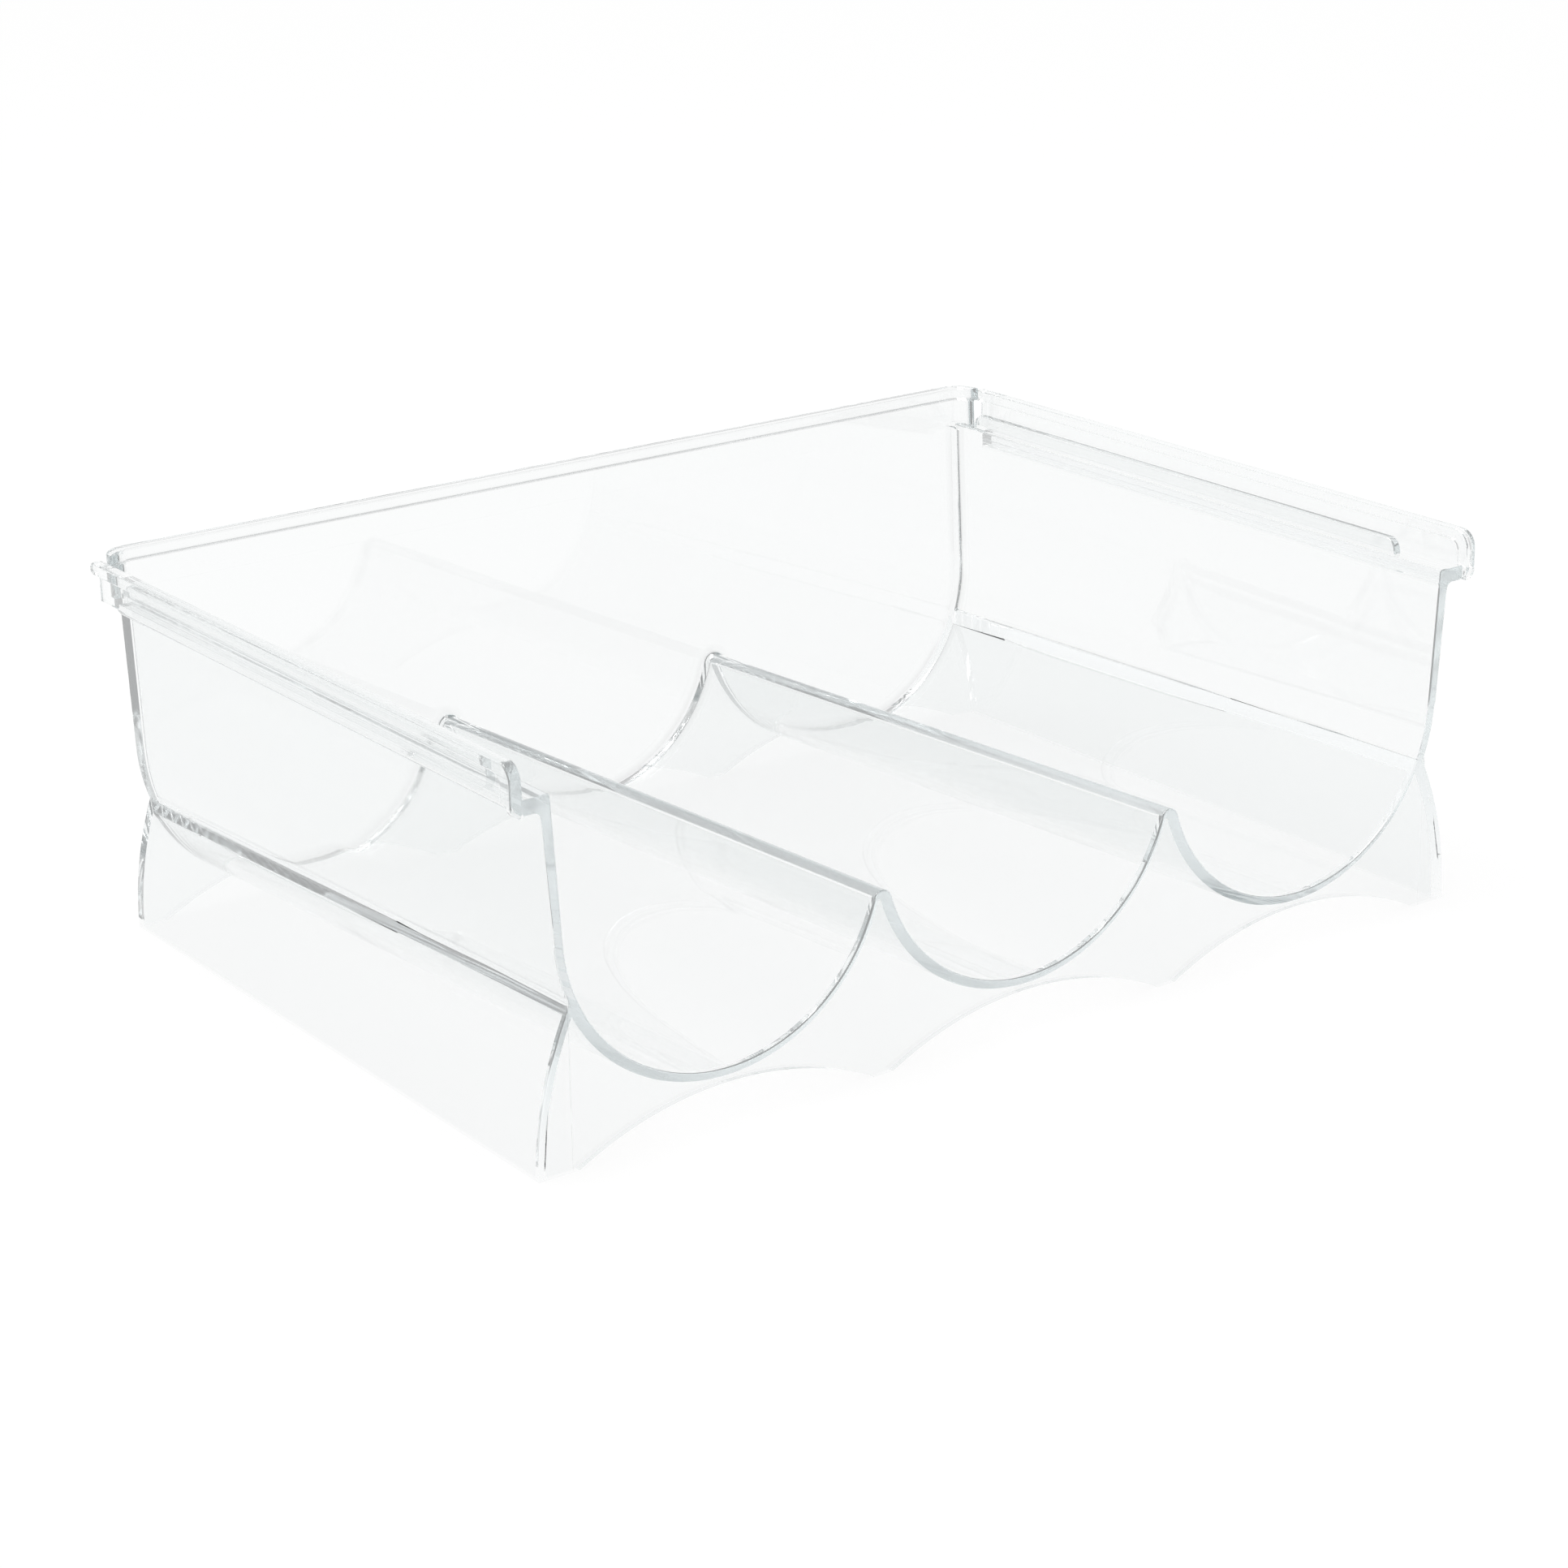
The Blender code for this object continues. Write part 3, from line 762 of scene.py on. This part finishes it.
for part in parts:
    fuse(rack, part)

# %% [markdown]
# Now that the moulding is one solid, its edges are softened. The mouth of each trough gets
# a small round where a bottle slides over it, and so does the outline of the front web.
# The inner corners, at the waist and where the sheet meets the back wall, get a fillet,
# because plastic doesn't flow into a sharp inner corner. An edge is picked by where it
# lies and by the angle its faces make: below zero is an inner corner.

# %% Rounds and fillets
waist_fillet = 0.0010
waist_turn = 0.4
waist_near_x = 0.125
waist_low = 0.02
waist_high = 0.06
outline_round = 0.0004
outline_top = ledge_under - 0.002
outline_near_x = skirt_x - bow_radius / 8
rear_fillet = 0.0032
shell = bmesh.new()
fused = rack.data
shell.from_mesh(fused)
mouth = [edge for edge in shell.edges
         if all(at_front(vert) and above_sheet(vert, front_end) for vert in edge.verts)
         and edge.is_manifold and edge.calc_face_angle() > sharp_turn]
print("mouth edges", len(mouth))
soften(shell, mouth, edge_round)


def at_back(vert):
    """True on the inner face of the back wall, up to the ledges."""
    return abs(vert.co.y - back_face(vert.co.z)) < 2 * hair and vert.co.z < ledge_top + hair


waist_lines = [edge for edge in shell.edges
               if edge.is_manifold and edge.calc_face_angle_signed() < -waist_turn
               and edge.calc_length() > depth / 10
               and all(abs(vert.co.x) > waist_near_x and waist_low < vert.co.z < waist_high
                       for vert in edge.verts)]
print("waist lines", len(waist_lines))
soften(shell, waist_lines, waist_fillet, 4)
outline = [edge for edge in shell.edges
           if edge.is_manifold and edge.calc_face_angle_signed() > sharp_turn
           and all(at_front(vert) and not above_sheet(vert, front_end)
                   and slack < vert.co.z < outline_top and abs(vert.co.x) > outline_near_x
                   for vert in edge.verts)]
print("outline edges", len(outline))
soften(shell, outline, outline_round)
corner_line = [edge for edge in shell.edges
               if all(at_back(vert) and above_sheet(vert, back_end) for vert in edge.verts)
               and edge.is_manifold and edge.calc_face_angle_signed() < -sharp_turn]
print("corner edges", len(corner_line))
soften(shell, corner_line, rear_fillet, 6)
loose = sum(1 for edge in shell.edges if not edge.is_manifold)
print("softened:", len(shell.faces), "faces,", loose, "open edges")
bmesh.ops.recalc_face_normals(shell, faces=shell.faces)
for face in shell.faces:
    face.smooth = True
shell.to_mesh(fused)
shell.free()
fused.set_sharp_from_angle(angle=math.radians(40.0))

# %% [markdown]
# Smooth shading blends the normals of all faces that share a corner, and the long plain
# walls would take on the slant of the narrow rounds beside them. Clear plastic shows that
# at once, as swirls. Weighted normals let the large faces win, so the walls stay true.

# %% Weighted normals
weigh = rack.modifiers.new("true_walls", "WEIGHTED_NORMAL")
weigh.mode = "FACE_AREA"
weigh.weight = 100
weigh.keep_sharp = True
graph = bpy.context.evaluated_depsgraph_get()
shaded = bpy.data.meshes.new_from_object(rack.evaluated_get(graph))
rack.modifiers.clear()
rack.data = shaded
print("weighted normals on", len(shaded.polygons), "faces")

# %% [markdown]
# Two small helpers keep the materials short. One turns an sRGB hex colour into the linear
# values that a shader takes. The other adds a node with its settings and its links.


# %% Helpers for colours and nodes
white_light = (1.0, 1.0, 1.0, 1.0)


def linear(hex_colour):
    """An sRGB hex colour as the linear values that a shader takes."""
    values = [int(hex_colour[place:place + 2], 16) / 255 for place in (1, 3, 5)]
    return tuple(v / 12.92 if v <= 0.04045 else ((v + 0.055) / 1.055) ** 2.4 for v in values) + (1.0,)


def add_node(tree, kind, values=None, links=None, **settings):
    """Add a node, set its sockets and properties, and link its inputs."""
    node = tree.nodes.new(kind)
    for name, value in settings.items():
        setattr(node, name, value)
    for name, value in (values or {}).items():
        node.inputs[name].default_value = value
    for name, source in (links or {}).items():
        tree.links.new(source, node.inputs[name])
    return node


# %% [markdown]
# The real finish is clear general-purpose polystyrene, injection moulded in a polished
# tool: glassy, colourless and slightly greyish where one looks along the sheet. It bends
# light more than glass does, with an index of refraction near 1.59. Shrinkage leaves slow
# waves in the wide walls, about 45 mm long, which is 22 to the metre. The eye sees them as
# a slight unevenness of what lies behind. Absorption through the depth of the wall gives
# the tone. A very small emission is painted light: the plastic glows faintly of its own,
# which lightens it where light runs along inside the sheet.

# %% Clear polystyrene
index_of_refraction = 1.59
waves_per_metre = 22.0
wave_depth = 0.0004
tone_density = 4.5
# Painted light: the plastic glows faintly of its own, with no lamp behind it.
painted_glow = 0.010
clear = bpy.data.materials.new("moulded_clear_polystyrene")
clear.use_nodes = True
tree = clear.node_tree
tree.nodes.clear()
place = add_node(tree, "ShaderNodeTexCoord")
flow = add_node(tree, "ShaderNodeTexNoise", {"Scale": waves_per_metre, "Detail": 2.0},
                {"Vector": place.outputs["Object"]})
haze = add_node(tree, "ShaderNodeMapRange", {"To Min": 0.012, "To Max": 0.035},
                {"Value": flow.outputs["Fac"]})
wave = add_node(tree, "ShaderNodeBump", {"Strength": 0.12, "Distance": wave_depth},
                {"Height": flow.outputs["Fac"]})
# The emission on this shader is painted light, a faint glow that lightens the plastic.
plastic = add_node(tree, "ShaderNodeBsdfPrincipled",
                   {"Base Color": linear("#F7F8F8"), "IOR": index_of_refraction,
                    "Transmission Weight": 1.0, "Emission Color": white_light,
                    "Emission Strength": painted_glow},
                   {"Roughness": haze.outputs["Result"], "Normal": wave.outputs["Normal"]})
depth_tone = add_node(tree, "ShaderNodeVolumeAbsorption",
                      {"Color": linear("#B9C4C6"), "Density": tone_density})
add_node(tree, "ShaderNodeOutputMaterial", None,
         {"Surface": plastic.outputs["BSDF"], "Volume": depth_tone.outputs["Volume"]})
rack.data.materials.clear()
rack.data.materials.append(clear)
print("material:", clear.name)

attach(rack, "root")
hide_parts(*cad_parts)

# %% [markdown]
# The rack stands on a white sweep. The camera, a reflection or a ray through the plastic
# sees a surface that is nearly all light and a little matt paint, so the sweep looks white
# and still takes a soft shadow. The paint has a faint grain of about 17 mm, drawn far
# coarser than a real one, which would be too fine to see.

# %% Floor
glow_share = 0.94
grains_per_metre = 60.0
bpy.ops.mesh.primitive_plane_add(size=8.0, location=(0.0, 0.0, 0.0))
floor = bpy.context.object
floor.name = "pale_floor"
paint = bpy.data.materials.new("matt_white_sweep")
paint.use_nodes = True
tree = paint.node_tree
tree.nodes.clear()
path = add_node(tree, "ShaderNodeLightPath")
seen = add_node(tree, "ShaderNodeMath", None,
                {0: path.outputs["Is Camera Ray"], 1: path.outputs["Is Glossy Ray"]}, operation="MAXIMUM")
seen = add_node(tree, "ShaderNodeMath", None,
                {0: seen.outputs[0], 1: path.outputs["Is Transmission Ray"]}, operation="MAXIMUM")
share = add_node(tree, "ShaderNodeMath", {1: glow_share}, {0: seen.outputs[0]}, operation="MULTIPLY")
grain = add_node(tree, "ShaderNodeTexNoise", {"Scale": grains_per_metre},
                 {"Vector": add_node(tree, "ShaderNodeTexCoord").outputs["Object"]})
tone = add_node(tree, "ShaderNodeMixRGB", {1: linear("#F1F1F0"), 2: linear("#F6F6F5")},
                {0: grain.outputs["Fac"]})
matt = add_node(tree, "ShaderNodeBsdfDiffuse", None, {"Color": tone.outputs["Color"]})
glow = add_node(tree, "ShaderNodeEmission", {"Color": white_light, "Strength": 1.0})
mixed = add_node(tree, "ShaderNodeMixShader", None,
                 {0: share.outputs[0], 1: matt.outputs["BSDF"], 2: glow.outputs["Emission"]})
add_node(tree, "ShaderNodeOutputMaterial", None, {"Surface": mixed.outputs["Shader"]})
floor.data.materials.append(paint)
print("floor:", floor.name)

# %% [markdown]
# Around the rack is a bright white room. The side of the room behind the camera is greyer,
# which is what gives clear plastic its grey edges. Only the camera itself always sees
# white, and rays that light a matt surface find the softer light of the room.

# %% World
grey_side = 0.55
room_light = 0.9
world = bpy.data.worlds.new("white_room")
bpy.context.scene.world = world
world.use_nodes = True
tree = world.node_tree
tree.nodes.clear()
path = add_node(tree, "ShaderNodeLightPath")
direction = add_node(tree, "ShaderNodeTexCoord")
split = add_node(tree, "ShaderNodeSeparateXYZ", None, {"Vector": direction.outputs["Generated"]})
behind = add_node(tree, "ShaderNodeMapRange",
                  {"From Min": -0.35, "From Max": 0.25, "To Min": grey_side, "To Max": 1.0},
                  {"Value": split.outputs["Y"]})
dim = add_node(tree, "ShaderNodeMath", None,
               {0: path.outputs["Is Camera Ray"], 1: behind.outputs["Result"]}, operation="MAXIMUM")
seen = add_node(tree, "ShaderNodeMath", None,
                {0: path.outputs["Is Camera Ray"], 1: path.outputs["Is Glossy Ray"]}, operation="MAXIMUM")
seen = add_node(tree, "ShaderNodeMath", None,
                {0: seen.outputs[0], 1: path.outputs["Is Transmission Ray"]}, operation="MAXIMUM")
white = add_node(tree, "ShaderNodeBackground", {"Color": white_light},
                 {"Strength": dim.outputs[0]})
soft = add_node(tree, "ShaderNodeBackground", {"Color": white_light, "Strength": room_light})
mixed = add_node(tree, "ShaderNodeMixShader", None,
                 {0: seen.outputs[0], 1: soft.outputs["Background"], 2: white.outputs["Background"]})
add_node(tree, "ShaderNodeOutputWorld", None, {"Surface": mixed.outputs["Shader"]})
print("world:", world.name)

# %% [markdown]
# One large softbox hangs above the rack, a little behind it and to its left. A large
# source makes soft shadows, and the grey edges of the plastic stay the strongest lines of
# the picture.


# %% Lamps
def lamp(name, place, target, size, watts):
    """A square area lamp that faces its target."""
    data = bpy.data.lights.new(name, "AREA")
    data.shape = "RECTANGLE"
    data.size = size
    data.size_y = size
    data.energy = watts
    item = bpy.data.objects.new(name, data)
    bpy.context.scene.collection.objects.link(item)
    item.location = place
    item.rotation_mode = "QUATERNION"
    item.rotation_quaternion = (Vector(target) - Vector(place)).to_track_quat("-Z", "Y")
    print(name, watts, "W")


softbox_place = (-0.3, 0.2, 1.4)
rack_middle = (0.0, 0.0, 0.05)
lamp("overhead_softbox", softbox_place, rack_middle, size=0.9, watts=16.0)

bpy.context.scene.view_settings.view_transform = "Standard"

# %% [markdown]
# A moulded edge looks grey because light that enters it runs along inside the sheet, from
# wall to wall like in a light guide, before it comes out again. The renderer has to follow
# that many reflections, or the edges would turn black.

# %% Light that runs inside the sheet
bounces = 40
cycles = bpy.context.scene.cycles
cycles.max_bounces = bounces
cycles.glossy_bounces = bounces
cycles.transmission_bounces = bounces
print("light bounces:", bounces)
